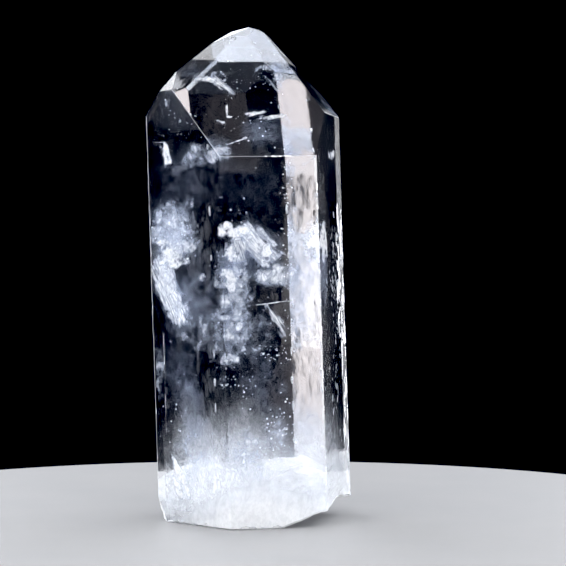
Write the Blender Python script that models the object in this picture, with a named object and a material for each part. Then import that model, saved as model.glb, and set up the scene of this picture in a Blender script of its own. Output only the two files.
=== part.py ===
"""Clear quartz point: a six-sided prism under six sloping rhomb faces, standing on its broken foot.

Metres, +Z up, the front seen along +Y. The origin is under the middle of the crystal's bounding box, on the
surface that it stands on. The sizes below are in millimetres and are turned to metres by MM.
"""

import math
from typing import NamedTuple

import bmesh
import bpy
from mathutils import Matrix, Vector

MM = 0.001

PARTS = "quartz_crystal_parts"
CUTTERS = "quartz_crystal_cutters"

# Quartz keeps its angles whatever its size: the prism faces stand 60 degrees apart, and the normal of each
# rhomb face that closes the point lies 51.79 degrees from the long axis. Narrow corner faces, 65.56 degrees
# from the axis, cut the lower left corner of every second rhomb face, which makes this a left-handed crystal.
SIXTH = math.radians(60.0)
RHOMB_TILT = math.radians(51.79)
CORNER_TILT = math.radians(65.56)

# The crystal is turned about its long axis, so that its front face looks a little to the right, and the
# long axis leans a little to the left of upright.
FRONT_TURN = math.radians(16.0)
LEAN = math.radians(1.8)

# The block that the faces are cut from.
BLOCK_RADIUS = 20.0
BLOCK_BOTTOM = -10.0
BLOCK_TOP = 80.0


class Side(NamedTuple):
    """A prism face and the rhomb face above it.

    sixths: turns of 60 degrees from the front face, going round by the right.
    reach: distance of the prism face from the long axis.
    peak: height above the foot at which the rhomb face would cross the long axis.
    """

    sixths: int
    reach: float
    peak: float


SIDES = {
    "front": Side(0, 11.94, 61.4),
    "right": Side(1, 11.64, 66.9),
    "back_right": Side(2, 11.91, 70.0),
    "back": Side(3, 11.94, 71.7),
    "back_left": Side(4, 10.71, 65.9),
    "left": Side(5, 11.15, 69.5),
}


class Corner(NamedTuple):
    """A narrow face, s to a mineralogist, on the corner between two prism faces and a large rhomb face.

    sixths: turns of 60 degrees from the front face to the corner, going round by the right.
    peak: height above the foot at which the face would cross the long axis.
    """

    sixths: float
    peak: float


CORNERS = {
    "front_left_s": Corner(-0.5, 75.35),
    "right_s": Corner(1.5, 81.8),
    "back_s": Corner(3.5, 80.3),
}


class Facet(NamedTuple):
    """A small worn facet on the tip.

    heading: direction that it faces, in degrees from the front, going round by the right.
    tilt: angle of its normal from upright, in degrees.
    point: a spot on the facet, from the long axis at foot level.
    """

    heading: float
    tilt: float
    point: tuple


# The tip is knocked about: its sharp apex is gone, and short facets of wear run round it.
TIP_WEAR = (
    Facet(-84.0, 15.0, (-1.7, 3.6, 64.1)),
    Facet(-40.0, 24.0, (-2.6, 2.4, 63.6)),
    Facet(80.0, 15.0, (0.1, 3.6, 64.2)),
    Facet(92.0, 31.0, (1.3, 3.6, 63.65)),
    Facet(14.0, 37.0, (-0.4, 2.8, 64.2)),
    Facet(204.0, 30.0, (-0.8, 4.6, 63.9)),
)


class Scoop(NamedTuple):
    """A shell-shaped hollow that part of the foot broke away along.

    point: a spot on the unbroken crystal, from the long axis at foot level.
    heading, pitch: direction out of the crystal in degrees, pitch being negative downwards.
    radius: radius of the hollow.
    bite: depth of the hollow below the spot.
    """

    point: tuple
    heading: float
    pitch: float
    radius: float
    bite: float


# The foot was broken off its rock. The front of the break is level, and it climbs behind and to the right.
FOOT_BREAK = {
    "back_slope": Scoop((-1.0, 12.4, 0.0), 180.0, -48.0, 34.0, 5.6),
    "right_corner": Scoop((13.0, -2.6, 0.0), 90.0, -90.0, 26.0, 3.2),
    "back_right_corner": Scoop((7.5, 11.0, 0.0), 150.0, -40.0, 20.0, 5.0),
    "back_left_corner": Scoop((-11.6, 7.6, 0.0), 240.0, -28.0, 22.0, 3.2),
    "left_corner": Scoop((-12.3, -3.4, 0.0), -80.0, -16.0, 18.0, 1.15),
}


class Flake(NamedTuple):
    """A small hollow where a flake broke off an edge.

    faces: the two faces that meet at the edge; a name ending in _rhomb is the face that closes the point.
    along: axis that the place on the edge is measured on, x or z.
    place: the place on that axis.
    radius: radius of the hollow.
    bite: depth of the hollow below the edge.
    """

    faces: tuple
    along: str
    place: float
    radius: float
    bite: float


# Flakes lost from the rim of the foot, the long edges and the shoulders.
FLAKES = {
    "foot_front_left": Flake(("left", "foot"), "x", -8.0, 2.6, 0.55),
    "foot_front": Flake(("front", "foot"), "x", -1.2, 2.2, 0.45),
    "foot_front_right": Flake(("front", "foot"), "x", 3.6, 3.4, 0.6),
    "right_edge": Flake(("right", "back_right"), "z", 30.8, 1.6, 0.3),
    "right_edge_high": Flake(("right", "back_right"), "z", 40.4, 1.2, 0.22),
    "left_edge": Flake(("back_left", "left"), "z", 36.0, 1.5, 0.2),
    "left_edge_low": Flake(("back_left", "left"), "z", 15.2, 1.8, 0.24),
    "front_edge": Flake(("front", "right"), "z", 12.4, 1.6, 0.2),
    "back_edge": Flake(("back", "back_left"), "z", 22.7, 2.1, 0.3),
    "back_edge_high": Flake(("back_right", "back"), "z", 37.5, 1.7, 0.24),
    "right_shoulder": Flake(("right", "right_rhomb"), "x", 10.3, 1.7, 0.28),
    "back_left_shoulder": Flake(("back_left", "back_left_rhomb"), "z", 51.6, 1.6, 0.25),
}
SCOOP_FINENESS = 4
FLAKE_FINENESS = 3

# A low growth ledge runs up the lower left face: the strip beside its outer edge lies a little deeper.
LEDGE_DROP = 0.12
LEDGE_STRIP = 2.5
LEDGE_TOP = 24.4
LEDGE_MARGIN = 5.0

# Clear colourless quartz.
COLOUR = (0.93, 0.95, 0.97, 1.0)
ROUGHNESS = 0.03
QUARTZ_IOR = 1.544


def clear_scene() -> None:
    """Remove the objects that are in the scene."""
    for thing in list(bpy.data.objects):
        bpy.data.objects.remove(thing, do_unlink=True)


def new_collection(name: str) -> bpy.types.Collection:
    """Make a collection of this name in the scene."""
    collection = bpy.data.collections.new(name)
    bpy.context.scene.collection.children.link(collection)
    return collection


def new_object(name: str, bm: bmesh.types.BMesh, collection: bpy.types.Collection) -> bpy.types.Object:
    """Turn a bmesh into an object of this name in a collection."""
    mesh = bpy.data.meshes.new(name)
    bm.to_mesh(mesh)
    bm.free()
    thing = bpy.data.objects.new(name, mesh)
    collection.objects.link(thing)
    return thing


def direction(heading: float, pitch: float) -> Vector:
    """Unit vector for a heading from the front, going round by the right, and a pitch above level."""
    level = math.cos(pitch)
    return Vector((math.sin(heading) * level, -math.cos(heading) * level, math.sin(pitch)))


def leaning(vector: Vector) -> Vector:
    """A direction or point of the upright crystal, as it is on the leaning one."""
    return Matrix.Rotation(-LEAN, 3, "Y") @ vector


def crystal_planes() -> dict:
    """Every flat face of the unbroken crystal by name, as its outward normal and a point on it."""
    planes = {"foot": (Vector((0.0, 0.0, -1.0)), Vector((0.0, 0.0, 0.0)))}
    for name, side in SIDES.items():
        heading = FRONT_TURN + side.sixths * SIXTH
        prism = leaning(direction(heading, 0.0))
        rhomb = leaning(direction(heading, math.pi / 2.0 - RHOMB_TILT))
        planes[name] = (prism, prism * side.reach)
        planes[name + "_rhomb"] = (rhomb, leaning(Vector((0.0, 0.0, side.peak))))
    for name, corner in CORNERS.items():
        heading = FRONT_TURN + corner.sixths * SIXTH
        normal = leaning(direction(heading, math.pi / 2.0 - CORNER_TILT))
        planes[name] = (normal, leaning(Vector((0.0, 0.0, corner.peak))))
    return planes


def place_on_edge(flake: Flake, planes: dict) -> Vector:
    """The point of an edge at a given x or z, where three planes meet."""
    axis = Vector((1.0, 0.0, 0.0)) if flake.along == "x" else Vector((0.0, 0.0, 1.0))
    meeting = [planes[face] for face in flake.faces] + [(axis, axis * flake.place)]
    normals = Matrix([normal for normal, point in meeting])
    reaches = Vector([normal.dot(point) for normal, point in meeting])
    return normals.inverted() @ reaches


def cut_flat(bm: bmesh.types.BMesh, point: Vector, normal: Vector) -> None:
    """Take off all that lies on the normal's side of a plane, and close the cut with one flat face."""
    everything = bm.verts[:] + bm.edges[:] + bm.faces[:]
    cut = bmesh.ops.bisect_plane(
        bm, geom=everything, dist=1e-7, plane_co=point, plane_no=normal, clear_outer=True
    )
    rim = [item for item in cut["geom_cut"] if isinstance(item, bmesh.types.BMEdge)]
    if rim:
        bmesh.ops.holes_fill(bm, edges=rim)


def grown_crystal() -> bmesh.types.BMesh:
    """The crystal as it grew, cut level at the foot: flat faces at quartz's own angles."""
    bm = bmesh.new()
    middle = (BLOCK_TOP + BLOCK_BOTTOM) / 2.0
    bmesh.ops.create_cone(
        bm,
        cap_ends=True,
        segments=6,
        radius1=BLOCK_RADIUS * MM,
        radius2=BLOCK_RADIUS * MM,
        depth=(BLOCK_TOP - BLOCK_BOTTOM) * MM,
        matrix=Matrix.Translation((0.0, 0.0, middle * MM)),
    )
    for normal, point in crystal_planes().values():
        cut_flat(bm, point * MM, normal)
    return bm


def wear_tip(bm: bmesh.types.BMesh) -> None:
    """Take the sharp apex off with a few small facets."""
    for facet in TIP_WEAR:
        normal = direction(math.radians(facet.heading), math.pi / 2.0 - math.radians(facet.tilt))
        cut_flat(bm, Vector(facet.point) * MM, normal)


def ball_cutter(name: str, centre: Vector, radius: float, fineness: int) -> bpy.types.Object:
    """A ball that hollows the crystal where it bites into it."""
    bm = bmesh.new()
    bmesh.ops.create_icosphere(bm, subdivisions=fineness, radius=radius * MM)
    ball = new_object(name, bm, bpy.data.collections[CUTTERS])
    ball.location = centre * MM
    return ball


def scoop_cutter(name: str, scoop: Scoop) -> bpy.types.Object:
    """The ball that breaks part of the foot away."""
    outward = direction(math.radians(scoop.heading), math.radians(scoop.pitch))
    centre = Vector(scoop.point) + outward * (scoop.radius - scoop.bite)
    return ball_cutter(name, centre, scoop.radius, SCOOP_FINENESS)


def flake_cutter(name: str, flake: Flake, planes: dict) -> bpy.types.Object:
    """The ball that takes a small flake off an edge, square to both its faces."""
    first, second = (planes[face][0] for face in flake.faces)
    outward = (first + second).normalized()
    centre = place_on_edge(flake, planes) + outward * (flake.radius - flake.bite)
    return ball_cutter(name, centre, flake.radius, FLAKE_FINENESS)


def ledge_cutter(name: str) -> bpy.types.Object:
    """A slab that lowers a strip of the left face beside its outer edge."""
    left = SIDES["left"]
    heading = FRONT_TURN + left.sixths * SIXTH
    toward_edge = direction(heading - math.pi / 2.0, 0.0)
    outward = direction(heading, 0.0)
    upward = Vector((0.0, 0.0, 1.0))
    half_face = left.reach * math.tan(SIXTH / 2.0)
    low = Vector((half_face - LEDGE_STRIP, left.reach - LEDGE_DROP, -LEDGE_MARGIN))
    high = Vector((half_face + LEDGE_MARGIN, left.reach + LEDGE_MARGIN, LEDGE_TOP))
    size = Matrix.Diagonal(high - low).to_4x4()
    axes = Matrix((toward_edge, outward, upward)).transposed().to_4x4()
    lean = Matrix.Rotation(-LEAN, 4, "Y")
    bm = bmesh.new()
    bmesh.ops.create_cube(bm, size=1.0)
    bm.transform(Matrix.Scale(MM, 4) @ lean @ axes @ Matrix.Translation((low + high) / 2.0) @ size)
    return new_object(name, bm, bpy.data.collections[CUTTERS])


def hide_cutter(cutter: bpy.types.Object) -> None:
    """Keep a cutter out of renders and draw it as wire."""
    cutter.hide_render = True
    cutter.display_type = "WIRE"


def break_away(crystal: bpy.types.Object, cutter: bpy.types.Object) -> None:
    """Cut a cutter's volume out of the crystal."""
    hide_cutter(cutter)
    cut = crystal.modifiers.new(cutter.name, "BOOLEAN")
    cut.operation = "DIFFERENCE"
    cut.solver = "EXACT"
    cut.object = cutter


def quartz_material() -> bpy.types.Material:
    """Clear colourless quartz, glossy on its natural faces."""
    material = bpy.data.materials.new("clear_quartz")
    material.use_nodes = True
    shader = material.node_tree.nodes["Principled BSDF"]
    shader.inputs["Base Color"].default_value = COLOUR
    shader.inputs["Roughness"].default_value = ROUGHNESS
    shader.inputs["Metallic"].default_value = 0.0
    shader.inputs["IOR"].default_value = QUARTZ_IOR
    shader.inputs["Transmission Weight"].default_value = 1.0
    return material


def centre_on_foot(crystal: bpy.types.Object) -> None:
    """Move the crystal and its cutters so that the origin lies under the middle of the bounding box."""
    evaluated = crystal.evaluated_get(bpy.context.evaluated_depsgraph_get())
    corners = [evaluated.matrix_world @ vertex.co for vertex in evaluated.data.vertices]
    low = Vector([min(corner[axis] for corner in corners) for axis in range(3)])
    high = Vector([max(corner[axis] for corner in corners) for axis in range(3)])
    shift = Vector((-(low.x + high.x) / 2.0, -(low.y + high.y) / 2.0, -low.z))
    for thing in [crystal, *bpy.data.collections[CUTTERS].objects]:
        thing.location += shift


def main() -> None:
    """Build the crystal."""
    clear_scene()
    parts = new_collection(PARTS)
    new_collection(CUTTERS)

    bm = grown_crystal()
    wear_tip(bm)
    crystal = new_object("quartz_crystal", bm, parts)
    crystal.data.materials.append(quartz_material())

    planes = crystal_planes()
    for name, scoop in FOOT_BREAK.items():
        break_away(crystal, scoop_cutter(name, scoop))
    for name, flake in FLAKES.items():
        break_away(crystal, flake_cutter(name, flake, planes))
    break_away(crystal, ledge_cutter("growth_ledge"))
    centre_on_foot(crystal)


main()
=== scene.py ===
"""Clear quartz point standing on a pale round plinth, under plain soft studio light.

Everything is in metres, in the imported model's frame: +Z up, the front seen along +Y. Sizes in the classes
are in millimetres and are turned to metres by MM.
"""

import logging
import math
import random
from collections.abc import Callable
from dataclasses import dataclass, field
from enum import Enum, IntEnum

import bpy
from mathutils import Matrix, Vector, noise


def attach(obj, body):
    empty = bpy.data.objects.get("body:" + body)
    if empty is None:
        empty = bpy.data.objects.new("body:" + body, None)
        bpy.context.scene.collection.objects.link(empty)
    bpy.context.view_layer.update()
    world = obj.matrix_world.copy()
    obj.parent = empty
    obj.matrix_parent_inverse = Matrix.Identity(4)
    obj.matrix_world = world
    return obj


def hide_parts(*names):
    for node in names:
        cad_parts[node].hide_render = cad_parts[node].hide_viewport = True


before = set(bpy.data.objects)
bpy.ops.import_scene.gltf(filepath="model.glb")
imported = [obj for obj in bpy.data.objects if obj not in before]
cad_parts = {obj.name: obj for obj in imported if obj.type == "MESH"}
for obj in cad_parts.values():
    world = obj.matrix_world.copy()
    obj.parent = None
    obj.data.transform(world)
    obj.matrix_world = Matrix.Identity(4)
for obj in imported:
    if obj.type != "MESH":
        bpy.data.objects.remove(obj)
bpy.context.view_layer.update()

Piece = bpy.types.Object
Finish = bpy.types.Material
Socket = bpy.types.NodeSocket

LOG = logging.getLogger("quartz_point")
MM = 0.001
UP = Vector((0.0, 0.0, 1.0))

# Where the crystal's long axis meets the surface it stands on, in millimetres from the frame's origin.
AXIS_FOOT = Vector((0.358, -0.121, 0.0))
SIXTH = math.radians(60.0)
FRONT_TURN = math.radians(16.0)
LEAN = math.radians(1.8)
RHOMB_TILT = math.radians(51.79)
CORNER_TILT = math.radians(65.56)
QUARTZ_IOR = 1.544
# How much finer each layer of a fractal pattern is than the one before.
FINER = 2.1


def linear(code: str) -> tuple:
    """Turn an sRGB hex colour into the linear colour that a shader takes.

    Args:
        code: six hex digits, with or without a leading hash.

    Returns:
        Red, green, blue and an alpha of 1.
    """
    digits = code.lstrip("#")
    channels = [int(digits[place:place + 2], 16) / 255.0 for place in (0, 2, 4)]
    scaled = [value / 12.92 if value <= 0.04045 else ((value + 0.055) / 1.055) ** 2.4 for value in channels]
    return (*scaled, 1.0)


def only(piece: Piece) -> None:
    """Select one object alone and make it active."""
    bpy.ops.object.select_all(action="DESELECT")
    piece.select_set(True)
    bpy.context.view_layer.objects.active = piece


def added(operator: Callable, name: str, **settings) -> Piece:
    """Add one of Blender's ready shapes.

    Args:
        operator: the operator that adds it.
        name: the new object's name.
        settings: the operator's settings.

    Returns:
        The new object.
    """
    bpy.ops.object.select_all(action="DESELECT")
    operator(**settings)
    piece = bpy.context.object
    piece.name = name
    return piece


def settle(piece: Piece) -> None:
    """Put the object's place, turn and size into its mesh."""
    only(piece)
    bpy.ops.object.transform_apply(location=True, rotation=True, scale=True)


def apply_modifier(piece: Piece, kind: str, **settings) -> None:
    """Add a modifier and apply it.

    Args:
        piece: the object that it shapes.
        kind: the modifier's type name.
        settings: its attributes.
    """
    only(piece)
    modifier = piece.modifiers.new(kind.lower(), kind)
    for name, value in settings.items():
        setattr(modifier, name, value)
    bpy.ops.object.modifier_apply(modifier=modifier.name)


def cut_flat(piece: Piece, cuts: list, fill: bool = True, clear: bool = True) -> None:
    """Cut an object along flat planes.

    Args:
        piece: the object.
        cuts: each plane's point in metres and its outward normal.
        fill: whether a face closes the cut.
        clear: whether what lies outside the plane goes.
    """
    only(piece)
    bpy.ops.object.mode_set(mode="EDIT")
    for point, normal in cuts:
        bpy.ops.mesh.select_all(action="SELECT")
        bpy.ops.mesh.bisect(plane_co=point, plane_no=normal, use_fill=fill, clear_outer=clear)
    bpy.ops.object.mode_set(mode="OBJECT")


def merge_into_first(pieces: list) -> Piece:
    """Join objects into the first of them.

    Args:
        pieces: the objects.

    Returns:
        The first of them, which now holds them all.
    """
    only(pieces[0])
    for piece in pieces[1:]:
        piece.select_set(True)
    if len(pieces) > 1:
        bpy.ops.object.join()
    return pieces[0]


def direction(heading: float, pitch: float) -> Vector:
    """Unit vector for a heading from the front, going round by the right, and a pitch above level."""
    level = math.cos(pitch)
    return Vector((math.sin(heading) * level, -math.cos(heading) * level, math.sin(pitch)))


def leaning(vector: Vector) -> Vector:
    """A direction or point of the upright crystal, as it is on the leaning one."""
    return Matrix.Rotation(-LEAN, 3, "Y") @ vector


class Recipe:
    """A node material in the making, with the few patterns that all the finishes are mixed from."""

    def __init__(self, name: str) -> None:
        """Make a material whose Principled shader feeds its output.

        Args:
            name: the material's name.
        """
        self.material = bpy.data.materials.new(name)
        self.material.use_nodes = True
        self.tree = self.material.node_tree
        self.tree.nodes.clear()
        self.shader = self.add("ShaderNodeBsdfPrincipled")
        self.output = self.add("ShaderNodeOutputMaterial", {"Surface": self.shader.outputs["BSDF"]})
        self.place = self.add("ShaderNodeTexCoord").outputs["Object"]

    def feed(self, node: bpy.types.Node, inputs: dict) -> None:
        """Give a node's inputs their values, or link them to the sockets that feed them.

        Args:
            node: the node.
            inputs: input name or number, to the value it takes or to the output socket that feeds it.
        """
        for name, value in inputs.items():
            if isinstance(value, Socket):
                self.tree.links.new(value, node.inputs[name])
            else:
                node.inputs[name].default_value = value

    def add(self, kind: str, inputs: dict = None, **settings) -> bpy.types.Node:
        """Add one node with its settings, values and links.

        Args:
            kind: the node's type name.
            inputs: as feed takes them.
            settings: attributes of the node.

        Returns:
            The new node.
        """
        node = self.tree.nodes.new(kind)
        for name, value in settings.items():
            setattr(node, name, value)
        self.feed(node, inputs or {})
        return node

    def clouds(self, where: Socket, size: float, detail: float, roughness: float = 0.5,
               distortion: float = 0.0) -> Socket:
        """A noise pattern.

        Args:
            where: the coordinates that it follows.
            size: the size of its clouds, in the units of those coordinates.
            detail: how many finer layers it has.
            roughness: how strong the finer layers are.
            distortion: how far it is drawn about.

        Returns:
            Its level, about one half on the whole.
        """
        inputs = {"Vector": where, "Scale": 1.0 / size, "Detail": detail}
        inputs |= {"Roughness": roughness, "Distortion": distortion}
        return self.add("ShaderNodeTexNoise", inputs).outputs["Fac"]

    def stretched(self, where: Socket, scale: tuple, shift: tuple = (0.0, 0.0, 0.0)) -> Socket:
        """Coordinates that are scaled along each axis and then shifted."""
        inputs = {"Vector": where, "Location": shift, "Scale": scale}
        return self.add("ShaderNodeMapping", inputs).outputs["Vector"]

    def spread(self, value: Socket, low: float, high: float, least: float = 0.0, most: float = 1.0,
               smooth: bool = True) -> Socket:
        """Spread a level over another range, and stop at its ends.

        Args:
            value: the level.
            low: where it gives the least.
            high: where it gives the most.
            least: what comes out at low.
            most: what comes out at high.
            smooth: whether it eases in and out.

        Returns:
            The new level.
        """
        inputs = {"Value": value, "From Min": low, "From Max": high, "To Min": least, "To Max": most}
        easing = "SMOOTHSTEP" if smooth else "LINEAR"
        return self.add("ShaderNodeMapRange", inputs, interpolation_type=easing).outputs["Result"]

    def maths(self, operation: str, *values, **settings) -> Socket:
        """The result of one sum on levels or plain numbers."""
        inputs = dict(enumerate(values))
        return self.add("ShaderNodeMath", inputs, operation=operation, **settings).outputs["Value"]

    def blend(self, factor: Socket, first: str, second: str) -> Socket:
        """The first hex colour where the factor is 0, the second where it is 1."""
        inputs = {"Factor": factor, "A": linear(first), "B": linear(second)}
        return self.add("ShaderNodeMix", inputs, data_type="RGBA").outputs["Result"]

    def bump(self, height: Socket, depth_mm: float, strength: float = 1.0,
             over: Socket = None) -> Socket:
        """A fine relief.

        Args:
            height: the pattern that it follows.
            depth_mm: how deep it is.
            strength: how strongly it counts.
            over: the normal of the relief that it lies on.

        Returns:
            The normal.
        """
        inputs = {"Strength": strength, "Distance": depth_mm * MM, "Height": height}
        if over is not None:
            inputs["Normal"] = over
        return self.add("ShaderNodeBump", inputs).outputs["Normal"]

    def scatter(self, density: Socket, thin: str, dense: str) -> Finish:
        """Finish a see-through scattering sheet: nothing where density is 0, a white haze where it is 1.

        Args:
            density: how much of the light is scattered.
            thin: the haze's colour where it is thin.
            dense: its colour where it is dense.

        Returns:
            The finished material.
        """
        colour = self.blend(density, thin, dense)
        self.feed(self.shader, {"Base Color": colour, "Roughness": 0.55})
        through = self.add("ShaderNodeBsdfTranslucent", {"Color": colour}).outputs["BSDF"]
        both = self.add("ShaderNodeMixShader", {0: 0.4, 1: self.shader.outputs["BSDF"], 2: through})
        clear = self.add("ShaderNodeBsdfTransparent").outputs["BSDF"]
        seen = self.add("ShaderNodeMixShader", {0: density, 1: clear, 2: both.outputs["Shader"]})
        self.feed(self.output, {"Surface": seen.outputs["Shader"]})
        return self.material


@dataclass(frozen=True)
class ClearQuartz:
    """Clear colourless rock crystal with natural growth faces: hard, glassy, faintly rippled, finely
    striated and here and there a little dulled by etching.

    clearness is how much of it is glass, and etched is the roughness where it is etched most.
    """

    name: str = "rock_crystal"
    clearness: float = 1.0
    etched: float = 0.12
    etched_mm: float = 1.2
    ripple_mm: float = 2.6
    ripple_height_mm: float = 0.012
    striation_mm: float = 0.55
    striation_height_mm: float = 0.0016
    tint: str = "#fcfdff"
    absorption: str = "#d4dce8"
    absorption_per_m: float = 3.0

    def build(self) -> Finish:
        """Make the material."""
        mix = Recipe(self.name)
        etching = mix.clouds(mix.place, self.etched_mm * MM, 5.0, 0.6)
        ripples = mix.clouds(mix.place, self.ripple_mm * MM, 2.5, 0.45)
        lines = mix.clouds(mix.stretched(mix.place, (0.12, 0.12, 1.0)), self.striation_mm * MM, 3.0)
        rippled = mix.bump(ripples, self.ripple_height_mm)
        mix.feed(mix.shader, {
            "Base Color": linear(self.tint),
            "IOR": QUARTZ_IOR,
            "Transmission Weight": self.clearness,
            "Roughness": mix.spread(etching, 0.42, 0.70, 0.0, self.etched, smooth=False),
            "Normal": mix.bump(lines, self.striation_height_mm, over=rippled),
        })
        inputs = {"Color": linear(self.absorption), "Density": self.absorption_per_m}
        depth = mix.add("ShaderNodeVolumeAbsorption", inputs)
        mix.feed(mix.output, {"Volume": depth.outputs["Volume"]})
        return mix.material


@dataclass(frozen=True)
class FrostedBreak:
    """The broken foot: a shell-shaped fracture through milky quartz, sugary white and only half
    see-through."""

    light: str = "#fbfaf6"
    shade: str = "#d9dde4"
    grain_mm: float = 0.35
    patch_mm: float = 3.2
    relief_mm: float = 0.05

    def build(self) -> Finish:
        """Make the material."""
        mix = Recipe("milky_quartz_fracture")
        patches = mix.clouds(mix.place, self.patch_mm * MM, 6.0, 0.6)
        grain = mix.clouds(mix.place, self.grain_mm * MM, 4.0, 0.7)
        mix.feed(mix.shader, {
            "Base Color": mix.blend(patches, self.shade, self.light),
            "Transmission Weight": mix.spread(patches, 0.35, 0.68, 0.35, 0.05, smooth=False),
            "IOR": QUARTZ_IOR,
            "Roughness": 0.42,
            "Normal": mix.bump(grain, self.relief_mm, 0.8),
        })
        return mix.material


@dataclass(frozen=True)
class CrushedQuartz:
    """Quartz that has been knocked or rubbed: glassy where it is whole, sugary white where it is crushed.

    It serves for the fine edges, the worn edges, the small chips and the rubbed facets of the tip. On the
    fine edges and in the chips its white is partly real bruising and partly painted highlights and glints.
    whole and crushed are the pattern's levels between which the glass turns white, clearest is how much glass
    there is where it is whole and whitest how much is left where it is crushed.
    """

    name: str
    crushed_mm: float
    whole: float
    crushed: float
    clearest: float
    whitest: float
    roughness: float
    relief_mm: float
    white: str = "#f1f3f8"

    def build(self) -> Finish:
        """Make the material."""
        mix = Recipe(self.name)
        spots = mix.clouds(mix.place, self.crushed_mm * MM, 6.0, 0.68)
        glass = mix.spread(spots, self.whole, self.crushed, self.clearest, self.whitest, smooth=False)
        mix.feed(mix.shader, {
            "Base Color": linear(self.white),
            "IOR": QUARTZ_IOR,
            "Roughness": self.roughness,
            "Transmission Weight": glass,
            "Normal": mix.bump(spots, self.relief_mm, 0.7),
        })
        return mix.material


@dataclass(frozen=True)
class HealedVeil:
    """A healed crack: a sheet of tiny liquid bubbles that scatters light, white where dense and bluish
    where thin.

    The piece's cover attribute says how dense the sheet is. patch_mm and fibre_mm are the sizes of its
    clouds and of its fibres, which run along the sheet's height; gain is how strongly the cover counts
    against the clouds, contrast how far they open it up, soft how softly it fades, fibrous how much the
    fibres show, most the densest that it gets and haze the faint bloom that lies over all of it.
    """

    name: str
    patch_mm: float = 1.5
    gain: float = 1.0
    contrast: float = 2.2
    soft: float = 1.05
    fibre_mm: tuple = (0.5, 0.8)
    fibrous: float = 0.60
    most: float = 0.96
    haze: float = 0.10
    thin: str = "#b4c3de"
    dense: str = "#ffffff"

    def build(self) -> Finish:
        """Make the material."""
        mix = Recipe(self.name)
        sheet = mix.add("ShaderNodeUVMap", uv_map="UVMap").outputs["UV"]
        cover = mix.add("ShaderNodeAttribute", attribute_name="cover").outputs["Fac"]
        clouds = mix.clouds(mix.place, self.patch_mm * MM, 8.0, 0.63, 0.35)
        drawn = mix.stretched(sheet, (1.0 / self.fibre_mm[0], 1.0 / self.fibre_mm[1], 1.0))
        fibres = mix.clouds(drawn, 1.0, 6.0, 0.66, 0.3)
        # The clouds push the cover up and down, and what stays above the middle is the veil.
        pushed = mix.maths("MULTIPLY_ADD", clouds, self.contrast, -0.5 * self.contrast - 0.08)
        raised = mix.maths("MULTIPLY_ADD", cover, self.gain, pushed)
        torn = mix.spread(raised, 0.0, self.soft)
        combed = mix.spread(fibres, 0.32, 0.66, self.most * (1.0 - self.fibrous), self.most)
        sheeted = mix.maths("MULTIPLY", torn, combed)
        density = mix.maths("MULTIPLY_ADD", cover, self.haze, sheeted, use_clamp=True)
        return mix.scatter(density, self.thin, self.dense)


@dataclass(frozen=True)
class MilkyGrowth:
    """Milky quartz near the root: a haze of bubbles that thickens downwards and ends upwards in ragged wisps.

    low and high are the heights in millimetres where it is full and where it has gone; both fall away by
    slant to either side of the crest, and by skew more to the left than to the right. heart is its density
    where it is full and mottle how much of it the small flecks take away. waver_mm is how far its upper end
    strays.
    """

    name: str
    low: float
    high: float
    slant: float
    heart: float
    patch_mm: float
    waver_mm: float
    shift: tuple
    mottle: float
    mottle_mm: tuple
    crest_mm: float = -3.2
    skew: float = 0.4
    white: str = "#fefefe"
    thin: str = "#e4e8ef"

    def build(self) -> Finish:
        """Make the material."""
        mix = Recipe(self.name)
        shifted = mix.stretched(mix.place, (1.0, 1.0, 0.6), tuple(value * MM for value in self.shift))
        axes = mix.add("ShaderNodeSeparateXYZ", {"Vector": mix.place}).outputs
        aside = mix.maths("SUBTRACT", axes["X"], self.crest_mm * MM)
        skewed = mix.maths("MULTIPLY_ADD", aside, -self.skew, axes["Z"])
        leaned = mix.maths("MULTIPLY_ADD", mix.maths("ABSOLUTE", aside), self.slant, skewed)
        broad = mix.clouds(shifted, self.patch_mm * MM, 9.0, 0.64, 0.8)
        wavering = mix.maths("MULTIPLY_ADD", broad, -2.0 * self.waver_mm * MM, leaned)
        gone, full = (self.high - self.waver_mm) * MM, (self.low - self.waver_mm) * MM
        height = mix.spread(wavering, gone, full, 0.0, self.heart)
        level, upright = (1.0 / (size * MM) for size in self.mottle_mm)
        flecked = mix.clouds(mix.stretched(shifted, (level, level, upright)), 1.0, 6.0, 0.7, 0.5)
        thinned = mix.spread(flecked, 0.38, 0.60, 1.0 - self.mottle, 1.0)
        return mix.scatter(mix.maths("MULTIPLY", height, thinned), self.thin, self.white)


@dataclass(frozen=True)
class SpeckAndPaintedGlint:
    """A white speck, partly crushed quartz and partly a painted glint that stands in for the light a bubble's
    wall catches.
    """

    patch_mm: float = 1.5
    shade: str = "#d8e2f4"
    white: str = "#ffffff"

    def build(self) -> Finish:
        """Make the material."""
        mix = Recipe("quartz_speck_and_painted_glint")
        tint = mix.clouds(mix.place, self.patch_mm * MM, 2.0)
        mix.feed(mix.shader, {"Base Color": mix.blend(tint, self.shade, self.white), "Roughness": 0.3})
        return mix.material


@dataclass(frozen=True)
class PaleStone:
    """Honed pale limestone: matt, faintly mottled, with a fine open grain."""

    light: str = "#6e6e6f"
    shade: str = "#666769"
    mottle_mm: float = 14.0
    grain_mm: float = 0.8
    relief_mm: float = 0.04

    def build(self) -> Finish:
        """Make the material."""
        mix = Recipe("honed_pale_stone")
        mottle = mix.clouds(mix.place, self.mottle_mm * MM, 5.0, 0.55)
        grain = mix.clouds(mix.place, self.grain_mm * MM, 3.0, 0.6)
        mix.feed(mix.shader, {
            "Base Color": mix.blend(mottle, self.shade, self.light),
            "Roughness": 0.62,
            "Normal": mix.bump(grain, self.relief_mm, 0.5),
        })
        return mix.material


class Slot(IntEnum):
    """The crystal's material slots."""

    CLEAR = 0
    EDGE = 1
    BREAK = 2
    CHIP = 3
    WORN = 4
    TIP = 5
    CAP = 6


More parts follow.
